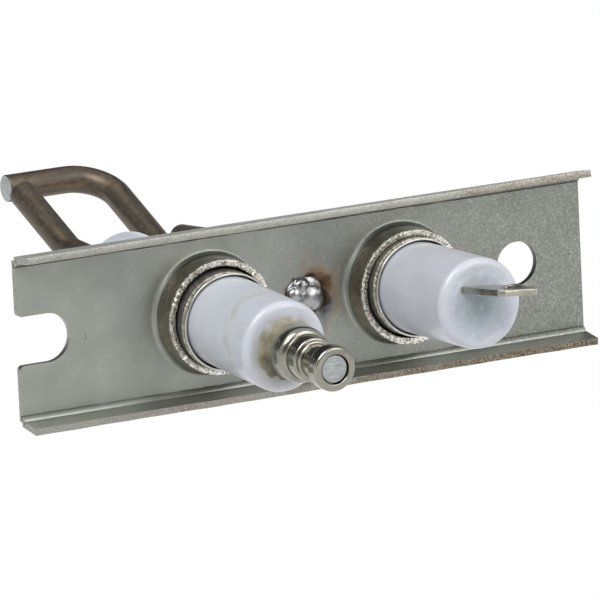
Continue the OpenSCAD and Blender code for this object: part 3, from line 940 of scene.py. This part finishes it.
def bracket_patches(settings):
    """The web as six cells side by side, from the slot to the hole, and the flanges cut where
    the cells meet."""
    half = settings.height / 2 - settings.bend - settings.sheet
    middle = -settings.sheet / 2
    left, right = BRACKET_LOW[0], BRACKET_HIGH[0]
    reach = half + 0.2
    ignition, sensing = IGNITION.origin[0], SENSING.origin[0]
    ends = [left, left + SLOT_CELL, ignition - reach, ignition + reach,
            sensing - reach, sensing + reach, right]
    spans = list(zip(ends, ends[1:]))
    patches = slot_cell(*spans[0], half, settings)
    patches += plain_cell(*spans[1], half, middle)
    patches += collar_cell(ignition, *spans[2], half, settings, 11)
    patches += plain_cell(*spans[3], half, middle)
    patches += collar_cell(sensing, *spans[4], half, settings, 23)
    patches += [(ring_cell(0.0, *spans[5], half, middle, settings.hole)[0],
                 False, True, HOLE)]
    for span in spans:
        for side in (1, -1):
            patches += flange_strip(*span, half, side, settings)
    return patches


class ELECTRODE_OT_bracket(bpy.types.Operator):
    """Bent sheet with its flanges, drawn collars, fixing hole and open slot"""
    bl_idname = "electrode.bracket"
    bl_label = "Bracket"

    def execute(self, context):
        settings = context.scene.electrode_bracket
        finishes = [FINISHES[name] for name in ("sheet", "edge", "flank", "lip", "sheet", "punched")]
        piece = make_piece("bracket_sheet", bracket_patches(settings), finishes)
        thick = thicken(piece, settings.sheet)
        thick.use_quality_normals = True
        thick.vertex_group = self.thin_walls(piece, settings).name
        thick.material_offset_rim = EDGE - SHEET
        edges = soften(piece, settings.edge, 55)
        edges.use_clamp_overlap = True
        edges.material = SHEET
        settle(piece)
        self.paint_lips(piece.data, settings)
        finish_piece(piece, "bracket")
        return {"FINISHED"}

    @staticmethod
    def thin_walls(piece, settings):
        """A vertex group whose weight is the wall's thickness as a share of the sheet's: less
        than one in the collars' walls and one elsewhere."""
        thin = piece.vertex_groups.new(name="sheet thickness")
        points = np.empty(len(piece.data.vertices) * 3)
        piece.data.vertices.foreach_get("co", points)
        points = points.reshape(-1, 3) / MM
        wall = np.zeros(len(points), bool)
        for axis in (IGNITION, SENSING):
            wall |= np.hypot(points[:, 0] - axis.origin[0], points[:, 2]) < settings.collar + 0.3
        wall &= points[:, 1] < -settings.sheet - 0.3
        thin.add(np.flatnonzero(~wall).tolist(), 1.0, "REPLACE")
        thin.add(np.flatnonzero(wall).tolist(), settings.collar_wall / settings.sheet, "REPLACE")
        return thin

    @staticmethod
    def paint_lips(mesh, settings):
        """Gives the rounded edges of the collars' lips the torn finish of the lips."""
        count = len(mesh.polygons)
        centres, finish = np.empty(count * 3), np.empty(count, np.int32)
        mesh.polygons.foreach_get("center", centres)
        mesh.polygons.foreach_get("material_index", finish)
        centres = centres.reshape(-1, 3) / MM
        lip = centres[:, 1] < 0.3 - settings.sheet - settings.collar_rise
        for axis in (IGNITION, SENSING):
            near = np.hypot(centres[:, 0] - axis.origin[0], centres[:, 2]) < settings.collar + 0.6
            finish[lip & near] = LIP
        mesh.polygons.foreach_set("material_index", finish)


# ---------------------------------------------------------------------------
# Insulators and what holds them
# ---------------------------------------------------------------------------

class ELECTRODE_OT_ferrules(bpy.types.Operator):
    """Thin sleeves in the collars, each with a seating flange behind the web"""
    bl_idname = "electrode.ferrules"
    bl_label = "Ferrules"

    def execute(self, context):
        s = context.scene.electrode_stack
        inner = s.ferrule - s.ferrule_wall
        lip = s.ferrule_wall * 0.4
        upright = 2.0  # the sleeve turns from the web's own axis to the insulator's below this, in mm
        profile = rounded_path([
            (inner, -s.seat_thickness, 0), (s.seat, -s.seat_thickness, 0.25), (s.seat, -0.02, 0.25),
            (s.ferrule + 0.05, -0.02, 0), (s.ferrule, 0.4, 0), (s.ferrule, s.ferrule_end, lip),
            (inner, s.ferrule_end, lip), (inner, -s.seat_thickness, 0)])
        profile = densify(profile, 1.0)
        rim = np.flatnonzero(profile[:, 1] > s.ferrule_end - lip - 0.05)
        first, last = rim[0] - 1, rim[-1] + 1
        for name, axis, seed in (("ignition", IGNITION, 3), ("sensing", SENSING, 5)):
            def wobble(angle, w):
                """Out of round by 0.03 mm, clear of the seat."""
                return 0.03 * waves(angle, seed, 2, 6) * (w > upright)
            sleeve = lathe(axis, profile, wobble=wobble)
            seat = lathe(Axis(axis.origin[0], (0, -1, 0)), profile)
            level = np.clip(profile[:, 1:, None] / upright, 0, 1)
            grid = seat + level * (sleeve - seat)
            patches = [(grid[:first + 1], False, True, 0), (grid[first:last + 1], False, True, 1),
                       (grid[last:], False, True, 0)]
            piece = make_piece(f"{name}_sleeve", patches, [FINISHES["ferrule"], FINISHES["rim"]])
            finish_piece(piece, f"{name}_ferrule")
        return {"FINISHED"}


class ELECTRODE_OT_tacks(bpy.types.Operator):
    """Six tack welds at the rims of the seating flanges, half balls with a slight waver"""
    bl_idname = "electrode.tacks"
    bl_label = "Tack Welds"

    def execute(self, context):
        s = context.scene.electrode_stack
        patches = []
        rise, turn = np.meshgrid(np.linspace(0, math.pi / 2, 14),
                                 np.linspace(0, 2 * math.pi, 40, endpoint=False), indexing="ij")
        for axis in (IGNITION, SENSING):
            for number, degrees in enumerate((90, 210, 330)):
                angle = math.radians(degrees)
                centre = axis.origin + s.seat * np.array([math.cos(angle), 0, math.sin(angle)])
                out = s.tack * np.sin(rise) * (1 + 0.08 * waves(turn, number, 2, 5))
                dome = np.stack([out * np.cos(turn), s.tack * np.cos(rise), out * np.sin(turn)],
                                axis=-1)
                patches.append((centre + dome, False, True, 0))
        piece = make_piece("tack_welds", patches, [FINISHES["weld"]])
        reshape(piece.data, close_open_edges)
        finish_piece(piece, "ferrule_tack_welds", 60)
        return {"FINISHED"}


class ELECTRODE_OT_insulators(bpy.types.Operator):
    """Two glazed ceramic tubes with rounded ends and cement pockets"""
    bl_idname = "electrode.insulators"
    bl_label = "Insulators"

    def execute(self, context):
        s = context.scene.electrode_stack
        for name, axis, pocket, depth, seed in (("ignition", IGNITION, s.plug, s.plug_depth, 7),
                                                ("sensing", SENSING_STACK, s.pocket, s.pocket_depth, 9)):
            profile = rounded_path([
                (s.bore, s.front - depth, 0), (pocket, s.front - depth, 0.1), (pocket, s.front, 0.25),
                (s.ceramic, s.front, s.front_edge), (s.ceramic, -s.rear, s.rear_edge),
                (s.plug, -s.rear, 0.25), (s.plug, s.plug_depth - s.rear, 0.1),
                (s.bore, s.plug_depth - s.rear, 0), (s.bore, s.front - depth, 0)], 10)
            profile = densify(profile, 1.5)

            def wobble(angle, w):
                """Out of round by 0.02 mm, in waves that wind slowly along the tube."""
                return 0.02 * waves(angle + 0.02 * w, seed, 2, 5)
            round_piece(f"{name}_ceramic", lathe(axis, profile, 160, wobble), "ceramic",
                        f"{name}_insulator", 50)
            dress_node(f"{name}_bond_ring", FINISHES["cement"])
        return {"FINISHED"}


# ---------------------------------------------------------------------------
# Rods
# ---------------------------------------------------------------------------

def rod_piece(name, node, path, radius, edge):
    """A round bar whose end caps are bare metal."""
    grid = rod(path, radius, edge)
    cap = 5  # rows of the grid in each end cap
    patches = [(grid[:cap], False, True, 1), (grid[cap - 1:1 - cap], False, True, 0),
               (grid[-cap:], False, True, 1)]
    piece = make_piece(name, patches, [FINISHES["rod"], FINISHES["rod_end"]])
    finish_piece(piece, node, 50)


class ELECTRODE_OT_rods(bpy.types.Operator):
    """Ignition, sensing and earth rods"""
    bl_idname = "electrode.rods"
    bl_label = "Rods"
    EARTH_START = 1.2  # how far the earth rod stands out of the mounting face, in mm

    def execute(self, context):
        s = context.scene.electrode_rods
        stack = context.scene.electrode_stack
        t = context.scene.electrode_terminal
        end = stack.front + t.seat + t.flange_length + t.shoulder_length + t.waist_length + t.head_length
        foot = stack.front - stack.pocket_depth + SENSING_ADVANCE
        tip = self.past_bend(s.ignition_bend, s.ignition_tip, s.ignition_angle)
        drop = self.past_bend(s.sensing_bend, s.sensing_reach - s.sensing_bend, -s.sensing_angle)
        riser = self.past_bend(s.earth_bend, s.earth_riser, s.earth_angle)
        for name, axis, start, bend, radius, ends in (
                ("ignition", IGNITION, end - t.recess, s.ignition_bend, s.bend, [tip]),
                ("sensing", SENSING, foot, s.sensing_bend, s.gentle, [drop]),
                ("earth", EARTH, self.EARTH_START, s.earth_bend, s.bend,
                 [riser, (-s.earth_cross, *riser[1:])])):
            corners = [(0, 0, start), (0, 0, -bend), *ends]
            rod_piece(f"{name}_wire", f"{name}_rod", self.bent(axis, corners, radius),
                      s.radius, s.edge)
        return {"FINISHED"}

    @staticmethod
    def past_bend(bend, length, angle):
        """Where a leg of some length ends that rises by an angle from the bend."""
        return 0, length * math.sin(angle), -bend - length * math.cos(angle)

    @staticmethod
    def bent(axis, corners, bend):
        """Straight lines through corners on an axis, with every bend at one radius."""
        places = axis.place(*np.array(corners, float).T)
        radii = [0] + [bend] * (len(corners) - 2) + [0]
        return rounded_path(np.column_stack([places, radii]), 12)


# ---------------------------------------------------------------------------
# Earth weld
# ---------------------------------------------------------------------------

class ELECTRODE_OT_earth_weld(bpy.types.Operator):
    """Weld pool on the front of the web, the highest of four round drops and a low dome at
    each point, and the fillet behind it"""
    bl_idname = "electrode.earth_weld"
    bl_label = "Earth Weld"
    # Round drops in the pool: across, up, radius in mm, and height as a share of the bead's.
    DROPS = [(0.8, -0.3, 2.25, 1.0), (-1.6, 0.5, 1.35, 0.75), (-0.45, 1.6, 1.35, 0.72),
             (-0.9, -1.5, 1.4, 0.55)]

    def execute(self, context):
        s = context.scene.electrode_weld
        sheet = context.scene.electrode_bracket.sheet
        rod_radius = context.scene.electrode_rods.radius
        share, angle = np.meshgrid(np.linspace(0, 1, 60),
                                   np.linspace(0, 2 * math.pi, 160, endpoint=False), indexing="ij")
        out = s.bead * (1 + 0.04 * waves(angle, 31, 2, 7)) * share
        x, y = out * np.cos(angle), out * np.sin(angle)
        height = 0.5 * np.sqrt(np.clip(1 - share ** 2, 0, 1))
        for across, up, reach, tall in self.DROPS:
            far = np.hypot(x - across, y - up) / reach
            height = np.maximum(height, tall * np.sqrt(np.clip(1 - far ** 2, 0, 1)))
        front = EARTH.place(x, y, sheet - 0.02 + s.bead_height * height)
        piece = make_piece("earth_weld_pool", [(front, False, True, 0)], [FINISHES["weld"]])
        reshape(piece.data, close_open_edges)
        finish_piece(piece, "earth_weld_bead", 60)
        outer, leg = rod_radius + s.fillet, s.fillet
        profile = densify(rounded_path([
            (rod_radius, 0.02, 0), (outer, 0.02, 0),
            (rod_radius + 0.35 * leg, -0.35 * leg, 0.6 * leg), (rod_radius, -leg, 0),
            (rod_radius, 0.02, 0)]), 0.3)

        def wobble(angle, w):
            """Ripples of 0.1 mm round the weld."""
            return 0.1 * waves(angle, 41, 3, 12)
        round_piece("earth_weld_back", lathe(EARTH, profile, wobble=wobble), "weld",
                    "earth_weld_fillet", 60)
        return {"FINISHED"}


# ---------------------------------------------------------------------------
# Terminals
# ---------------------------------------------------------------------------

class ELECTRODE_OT_terminal(bpy.types.Operator):
    """Turned clip-on terminal of the ignition rod"""
    bl_idname = "electrode.terminal"
    bl_label = "Ignition Terminal"

    def execute(self, context):
        s = context.scene.electrode_terminal
        rod_radius = context.scene.electrode_rods.radius
        base = context.scene.electrode_stack.front + s.seat
        shoulder = base + s.flange_length
        waist = shoulder + s.shoulder_length
        head = waist + s.waist_length
        end = head + s.head_length
        bore = rod_radius + 0.12
        profile = rounded_path([
            (bore, base, 0), (s.flange, base, 0.45), (s.flange, shoulder, 1.1),
            (s.shoulder - 0.3, shoulder, 0.2), (s.shoulder, shoulder + 0.3, 0.2),
            (s.shoulder, waist, 0.35), (s.waist, waist, 0.35), (s.waist, head, 0.35),
            (s.head, head, 0.5), (s.head, end, 0.4), (bore, end, 0.15), (bore, end - 2, 0),
            (rod_radius - 0.3, end - 2, 0), (rod_radius - 0.3, base, 0), (bore, base, 0)], 6)
        round_piece("terminal_nut", lathe(IGNITION, densify(profile, 0.5), 128), "nickel",
                    "ignition_terminal", 50)
        return {"FINISHED"}


class ELECTRODE_OT_blade(bpy.types.Operator):
    """Blade tab of the sensing rod, bent out of its foot, with a chamfered tip and a hole"""
    bl_idname = "electrode.blade"
    bl_label = "Sensing Blade"

    def execute(self, context):
        s = context.scene.electrode_terminal
        stack = context.scene.electrode_stack
        foot = stack.front - 0.4 - s.blade_thickness / 2
        bend = s.blade_bend + s.blade_thickness / 2
        top = s.blade_height - s.blade_thickness / 2
        reach = s.blade_length + stack.front - foot - bend
        side = rounded_path([
            (foot, -s.foot_drop, 0), (foot, top, bend),
            (foot + reach * math.cos(s.blade_rise) + bend, top + reach * math.sin(s.blade_rise), 0)], 8)
        length = lengths_along(side)[-1]
        piece = make_piece("blade_tab", [(self.carry(s, side, length, grid), False, wrap, 0)
                                         for grid, wrap in self.outline(s, length)],
                           [FINISHES["blade"]])
        thicken(piece, s.blade_thickness)
        soften(piece, 0.12, 40)
        settle(piece)
        finish_piece(piece, "sensing_blade", 40)
        dress_node("sensing_blade_nugget", FINISHES["weld"])
        return {"FINISHED"}

    @staticmethod
    def outline(s, length):
        """The blade laid flat, as grids of (across, along): a strip from the foot, then a square
        round the hole, then the tip with its two chamfers."""
        half, hole, cut = s.blade_width / 2, s.blade_hole, s.blade_chamfer
        centre = length - s.blade_hole_back
        low, high = centre - 1.6, centre + 1.6
        steps = 24
        across = np.linspace(-half, half, steps + 1)
        body = np.stack(np.meshgrid(across, np.linspace(0, low, 60)), axis=-1)
        x, y = rectangle(-half, half, low, high, steps)
        angle = np.arctan2(y - centre, x)
        rows = np.linspace(0, 1, 8)[:, None]
        ring = np.stack([x + rows * (hole * np.cos(angle) - x),
                         y + rows * (centre + hole * np.sin(angle) - y)], axis=-1)
        rows = np.linspace(0, 1, 9)[:, None] * (length - high)
        narrow = np.clip(rows - (length - high - cut), 0, None)
        tip = np.stack([across / half * (half - narrow), high + rows + 0 * across], axis=-1)
        return [(body, False), (ring, True), (tip, False)]

    @staticmethod
    def carry(s, side, length, grid):
        """Lays flat points along the bent side line, swells them beside the hole by a bell curve
        (e to the power of minus the squared distances across and along, each over its width),
        and rolls them about the insulator's axis."""
        reached = lengths_along(side)
        w = np.interp(grid[..., 1], reached, side[:, 0])
        y = np.interp(grid[..., 1], reached, side[:, 1])
        x = grid[..., 0]
        behind = grid[..., 1] - (length - s.blade_hole_back - 1.0)
        y = y + s.blade_burr * np.exp(-((x - 1.2) / 1.5) ** 2 - (behind / 2.0) ** 2)
        c, r = math.cos(s.blade_roll), math.sin(s.blade_roll)
        return SENSING_STACK.place(x * c + y * r, y * c - x * r, w)


# ---------------------------------------------------------------------------
# Cement
# ---------------------------------------------------------------------------

class ELECTRODE_OT_cement(bpy.types.Operator):
    """Cement under the terminal, round the blade's foot and behind the insulators"""
    bl_idname = "electrode.cement"
    bl_label = "Cement"

    def execute(self, context):
        s = context.scene.electrode_stack
        t = context.scene.electrode_terminal
        rod_radius = context.scene.electrode_rods.radius
        inner = rod_radius - 0.2
        top = t.flange - 0.7
        cone = rounded_path([
            (inner, s.front - s.plug_depth, 0), (s.plug - 0.1, s.front - s.plug_depth, 0),
            (s.plug + 0.7, s.front + 0.01, 0), (s.plug - 0.1, s.front + 0.15, 0.7),
            (top + 0.1, s.front + 1.4, 1.0), (top, s.front + t.seat, 0),
            (inner, s.front + t.seat, 0), (inner, s.front - s.plug_depth, 0)])
        rear = rounded_path([
            (inner, -s.rear - 0.05, 0), (s.plug - 0.1, -s.rear + 0.1, 0.5),
            (s.plug, s.plug_depth - s.rear, 0), (inner, s.plug_depth - s.rear, 0),
            (inner, -s.rear - 0.05, 0)])
        pocket = rounded_path([
            (0, s.front - s.pocket_depth, 0), (s.pocket - 0.1, s.front - s.pocket_depth, 0),
            (s.pocket + 0.5, s.front + 0.01, 0), (s.pocket - 0.8, s.front + 0.02, 3.0),
            (2.6, s.front - 0.1, 2.0), (0, s.front - 0.16, 0)])
        for name, node, axis, profile, finish, slot, seed in (
                # The terminal's cement has an olive stain and painted shade darkening it under the
                # flange.
                ("terminal_cement", "ignition_front_cement", IGNITION, cone,
                 "stained", "stained_cement", 51),
                ("ignition_back_cement", "ignition_rear_cement", IGNITION, rear,
                 "cement", "cement", 53),
                ("sensing_back_cement", "sensing_rear_cement", SENSING_STACK, rear,
                 "cement", "cement", 55),
                ("blade_cement", "sensing_front_cement", SENSING_STACK, pocket,
                 "pocket", "cement", 57)):
            grid = self.lump(lathe(axis, densify(profile, 0.35), 120), axis, seed)
            round_piece(name, grid, finish, node, 60)
        return {"FINISHED"}

    @staticmethod
    def lump(grid, axis, seed):
        """Moves turned cement out from its axis and along it by a smooth random field of
        0.06 mm, whose waves are 1.6 mm long."""
        offset = grid - (axis.origin + (grid - axis.origin) @ axis.w[:, None] * axis.w)
        out = offset / np.maximum(np.linalg.norm(offset, axis=-1, keepdims=True), 0.5)
        swell = 0.06 * lumps(grid, seed, 1.6)[..., None]
        return grid + swell * out + 0.6 * swell * axis.w


# ---------------------------------------------------------------------------
# Stage
# ---------------------------------------------------------------------------

class ELECTRODE_OT_stage(bpy.types.Operator):
    """Camera, white floor and soft studio light"""
    bl_idname = "electrode.stage"
    bl_label = "Stage"
    FLOOR_SIDE = 12.0  # middle of the floor to its edges, in metres
    CLIP = (0.05, 50.0)  # nearest and furthest that the camera sees, in metres
    WINDOW = (0.44, -0.75, 0.5)  # where the window is, seen from the part
    LAMP = (-0.45, -0.35, 0.7)  # place of the softbox, in metres
    LAMP_AIM = (-0.035, 0.0, 0.0)

    def execute(self, context):
        s = context.scene.electrode_stage
        scene = context.scene
        scene.view_settings.view_transform = "Standard"
        target = np.array([(BRACKET_LOW[0] + BRACKET_HIGH[0]) / 2, 0, 0])
        a, e = s.azimuth, s.elevation
        back = np.array([math.sin(a) * math.cos(e), -math.cos(a) * math.cos(e), math.sin(e)])
        level = np.array([math.cos(a), math.sin(a), 0.0])
        upright = np.cross(back, level)
        right = level * math.cos(s.roll) + upright * math.sin(s.roll)
        up = upright * math.cos(s.roll) - level * math.sin(s.roll)
        place = target + right * s.aim[0] + up * s.aim[1] + back * s.distance
        self.add_camera(context, right, up, back, place, s)
        self.add_floor(s)
        self.add_world(scene, back)
        self.add_lights()
        return {"FINISHED"}

    @classmethod
    def add_camera(cls, context, right, up, back, place, s):
        """A long lens at place, whose view is view_width wide at the part."""
        data = bpy.data.cameras.new("camera")
        camera = bpy.data.objects.new("camera", data)
        context.scene.collection.objects.link(camera)
        turn = np.eye(4)
        turn[:3, 0], turn[:3, 1], turn[:3, 2], turn[:3, 3] = right, up, back, place * MM
        camera.matrix_world = Matrix(turn.tolist())
        data.lens = data.sensor_width * s.distance / s.view_width
        data.clip_start, data.clip_end = cls.CLIP
        context.scene.camera = camera

    @classmethod
    def add_floor(cls, s):
        """A white floor that glows evenly and can't be seen from below."""
        mesh = bpy.data.meshes.new("floor")
        side, level = cls.FLOOR_SIDE, (BRACKET_LOW[2] - s.floor) * MM
        corners = ((-side, -side), (side, -side), (side, side), (-side, side))
        mesh.from_pydata([(x, y, level) for x, y in corners], [], [(0, 1, 2, 3)])
        floor = bpy.data.objects.new("floor", mesh)
        bpy.context.scene.collection.objects.link(floor)
        material = bpy.data.materials.new("white floor")
        material.use_nodes = True
        tree = material.node_tree
        tree.nodes.clear()
        glow = add(tree, "ShaderNodeEmission", {"Color": grey(1), "Strength": 1.0})
        clear = add(tree, "ShaderNodeBsdfTransparent")
        under = add(tree, "ShaderNodeNewGeometry").outputs["Backfacing"]
        sides = add(tree, "ShaderNodeMixShader",
                    {0: under, 1: glow.outputs["Emission"], 2: clear.outputs["BSDF"]})
        add(tree, "ShaderNodeOutputMaterial", {"Surface": sides.outputs["Shader"]})
        mesh.materials.append(material)

    @classmethod
    def add_world(cls, scene, back):
        """White all round, with a soft grey patch where the camera and its stand are, a dark
        wall behind the part, and a bright window in front, high to the right."""
        world = bpy.data.worlds.new("studio")
        world.use_nodes = True
        scene.world = world
        tree = world.node_tree
        tree.nodes.clear()
        toward = add(tree, "ShaderNodeTexCoord").outputs["Generated"]
        stand = vector_math(tree, "DOT_PRODUCT", toward, back)["Value"]
        shade = blend(tree, between(tree, stand, 0.75, 0.97), grey(1), grey(0.25))
        level = add(tree, "ShaderNodeSeparateXYZ", {"Vector": toward}).outputs
        wall = product(tree, between(tree, level["Y"], 0.25, 0.5),
                       between(tree, level["Z"], 0.16, 0.3))
        wall = product(tree, wall, between(tree, level["Z"], 0.7, 0.9, 1.0, 0.0))
        shade = blend(tree, wall, shade, grey(0.08))
        window = vector_math(tree, "DOT_PRODUCT", toward, cls.WINDOW)["Value"]
        shade = blend(tree, between(tree, window, 0.9, 0.98), shade, grey(4.2))
        light = add(tree, "ShaderNodeBackground", {"Color": shade, "Strength": 0.8})
        add(tree, "ShaderNodeOutputWorld", {"Surface": light.outputs["Background"]})

    @classmethod
    def add_lights(cls):
        """One softbox in front, high to the left, turned to the middle of the bracket."""
        data = bpy.data.lights.new("top softbox", "AREA")
        data.size, data.energy = 0.6, 6.0
        lamp = bpy.data.objects.new("top softbox", data)
        lamp.location = cls.LAMP
        bpy.context.scene.collection.objects.link(lamp)
        direction = Vector(cls.LAMP_AIM) - Vector(cls.LAMP)
        lamp.rotation_euler = direction.to_track_quat("-Z", "Y").to_euler()


OPERATORS = [
    ELECTRODE_OT_stage, ELECTRODE_OT_bracket, ELECTRODE_OT_ferrules, ELECTRODE_OT_tacks,
    ELECTRODE_OT_insulators, ELECTRODE_OT_rods, ELECTRODE_OT_earth_weld, ELECTRODE_OT_terminal,
    ELECTRODE_OT_blade, ELECTRODE_OT_cement,
]


class ELECTRODE_PT_panel(bpy.types.Panel):
    """Buttons for the stages and every size, colour and angle"""
    bl_idname = "ELECTRODE_PT_panel"
    bl_label = "Ignition Electrode"
    bl_space_type = "VIEW_3D"
    bl_region_type = "UI"
    bl_category = "Electrode"

    def draw(self, context):
        for operator in OPERATORS:
            self.layout.operator(operator.bl_idname)
        for name, group in SETTINGS.items():
            box = self.layout.box()
            for key in group.__annotations__:
                box.prop(getattr(context.scene, name), key)


def register():
    """Adds the settings, operators and panel to Blender."""
    for kind in [*SETTINGS.values(), *OPERATORS, ELECTRODE_PT_panel]:
        bpy.utils.register_class(kind)
    for name, group in SETTINGS.items():
        setattr(bpy.types.Scene, name, PointerProperty(type=group))


def unregister():
    """Takes them out again."""
    for name in SETTINGS:
        delattr(bpy.types.Scene, name)
    for kind in [ELECTRODE_PT_panel, *OPERATORS, *SETTINGS.values()]:
        bpy.utils.unregister_class(kind)


def main():
    """Builds every piece."""
    register()
    make_finishes()
    for operator in OPERATORS:
        group, name = operator.bl_idname.split(".")
        getattr(getattr(bpy.ops, group), name)()


if __name__ == "__main__":
    main()
